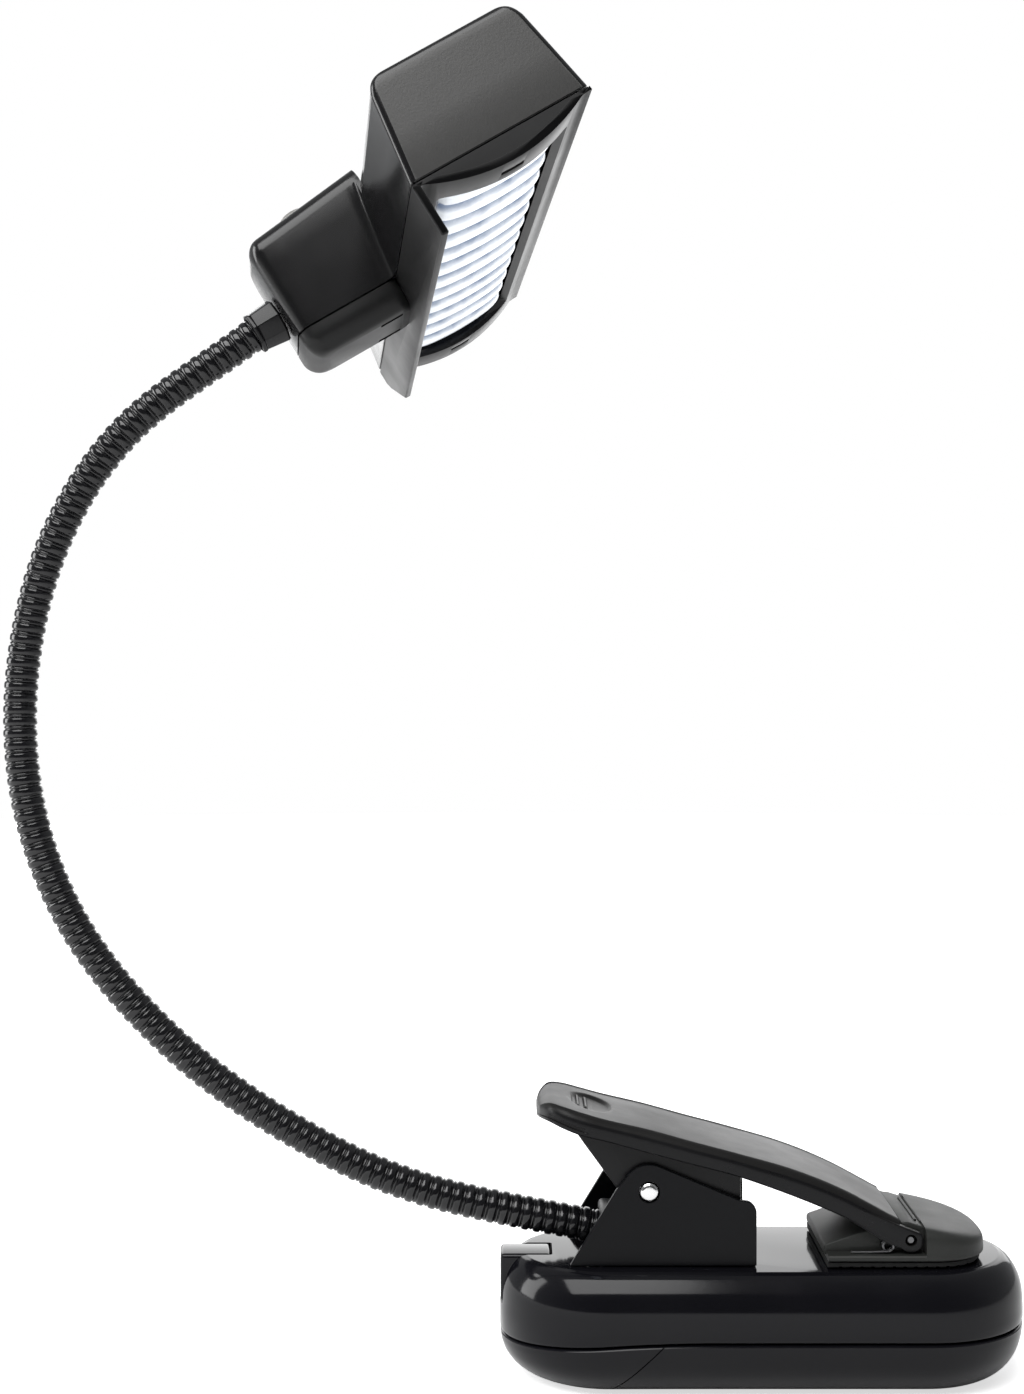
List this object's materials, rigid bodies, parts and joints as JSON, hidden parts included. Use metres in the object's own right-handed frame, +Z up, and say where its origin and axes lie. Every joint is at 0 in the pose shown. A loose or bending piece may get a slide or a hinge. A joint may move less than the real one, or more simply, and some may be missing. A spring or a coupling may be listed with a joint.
{
  "type": "clip-on reading lamp",
  "caption": "Battery reading lamp with a sprung clip on its base, a long bendable ribbed neck and a wide shaded head with a ribbed lens.",
  "frame": {"origin": "centre of the base's flat underside, where the lamp stands", "axes": "+X from the neck towards the clip's jaw, +Y across the base, +Z up"},
  "size_m": [0.1955, 0.1244, 0.2471],
  "materials": {
    "gloss_black_shell": "polished gloss black moulding",
    "neck_sleeve": "glossy ribbed black sleeve",
    "satin_black": "satin black",
    "matte_black": "fine matte texture",
    "rubber_pad": "soft matte rubber",
    "bright_steel": "bright plated steel",
    "spring_contact": "nickel plated spring steel",
    "cell_wrap": "metal can under a printed film without lettering",
    "copper_wire": "insulated two-core lead",
    "clear_lens": "ribbed clear moulding",
    "white_plastic": "white moulding",
    "circuit_board": "green laminate"
  },
  "bodies": {
    "base": {"base_top_shell": "gloss_black_shell", "base_bottom_shell": "gloss_black_shell", "battery_tray": "matte_black", "contact_plate_left": "spring_contact", "contact_plate_right": "spring_contact", "battery_1": "cell_wrap", "battery_2": "cell_wrap", "battery_3": "cell_wrap", "battery_spring_1": "spring_contact", "battery_spring_2": "spring_contact", "battery_spring_3": "spring_contact", "power_inlet": "matte_black", "clip_bracket": "satin_black", "bracket_screw_1": "bright_steel", "bracket_screw_2": "bright_steel", "case_screw_1": "bright_steel", "case_screw_2": "bright_steel", "pivot_pin": "bright_steel", "clip_spring_base_leg": "bright_steel", "neck_ferrule": "matte_black", "gooseneck_1": "neck_sleeve", "neck_wire_1": "copper_wire"},
    "battery_door": {"battery_cover": "gloss_black_shell"},
    "lever": {"clip_lever": "satin_black", "clip_spring_lever_leg": "bright_steel"},
    "jaw": {"jaw": "matte_black", "jaw_pin": "bright_steel", "jaw_pad": "rubber_pad"},
    "neck_2": {"gooseneck_2": "neck_sleeve", "neck_wire_2": "copper_wire"},
    "neck_3": {"gooseneck_3": "neck_sleeve", "neck_wire_3": "copper_wire"},
    "neck_4": {"gooseneck_4": "neck_sleeve", "neck_wire_4": "copper_wire"},
    "neck_5": {"gooseneck_5": "neck_sleeve", "neck_wire_5": "copper_wire"},
    "neck_6": {"gooseneck_6": "neck_sleeve", "neck_wire_6": "copper_wire"},
    "head": {"neck_collar": "satin_black", "head_rear_shell": "matte_black", "head_front_bezel": "matte_black", "lens": "clear_lens", "reflector": "white_plastic", "led_board": "circuit_board", "switch_body": "white_plastic", "led_01": "white_plastic", "led_02": "white_plastic", "led_03": "white_plastic", "led_04": "white_plastic", "led_05": "white_plastic", "led_06": "white_plastic", "led_07": "white_plastic", "led_08": "white_plastic", "led_09": "white_plastic", "led_10": "white_plastic"},
    "button": {"power_button": "bright_steel"}
  },
  "joints": [
    {"name": "clip_lever_pivot", "type": "hinge", "parent": "base", "child": "lever", "pos_m": [-0.0221, 0, 0.0369], "axis": [0, -1, 0], "range_deg": [0, 25], "stiffness_Nm_per_rad": 0.25, "springref_deg": -28.65},
    {"name": "jaw_pivot", "type": "hinge", "parent": "lever", "child": "jaw", "pos_m": [0.0265, 0, 0.0282], "axis": [0, 1, 0], "range_deg": [0, 15]},
    {"name": "battery_cover_slide", "type": "slide", "parent": "base", "child": "battery_door", "axis": [1, 0, 0], "range_m": [0, 0.012]},
    {"name": "neck_bend_1", "type": "hinge", "parent": "base", "child": "neck_2", "pos_m": [-0.06997, 0, 0.03616], "axis": [0, 1, 0], "range_deg": [-18, 12]},
    {"name": "neck_bend_2", "type": "hinge", "parent": "neck_2", "child": "neck_3", "pos_m": [-0.10681, 0, 0.05722], "axis": [0, 1, 0], "range_deg": [-18, 12]},
    {"name": "neck_bend_3", "type": "hinge", "parent": "neck_3", "child": "neck_4", "pos_m": [-0.13416, 0, 0.08946], "axis": [0, 1, 0], "range_deg": [-18, 12]},
    {"name": "neck_bend_4", "type": "hinge", "parent": "neck_4", "child": "neck_5", "pos_m": [-0.14207, 0.00003, 0.13079], "axis": [0, 1, 0], "range_deg": [-18, 12]},
    {"name": "neck_bend_5", "type": "hinge", "parent": "neck_5", "child": "neck_6", "pos_m": [-0.12892, -0.00157, 0.17076], "axis": [0, 1, 0], "range_deg": [-18, 12]},
    {"name": "head_twist", "type": "hinge", "parent": "neck_6", "child": "head", "pos_m": [-0.09209, -0.00009, 0.20172], "axis": [0.8437, 0.155, 0.5139], "range_deg": [-60, 60]},
    {"name": "power_button_press", "type": "slide", "parent": "head", "child": "button", "axis": [0.5265, -0.0527, -0.8485], "range_m": [0, 0.0008], "stiffness_N_per_m": 300, "springref_m": -0.001}
  ],
  "couplings": [
    {"joint": "jaw_pivot", "follows": "clip_lever_pivot", "ratio": 0.6}
  ]
}
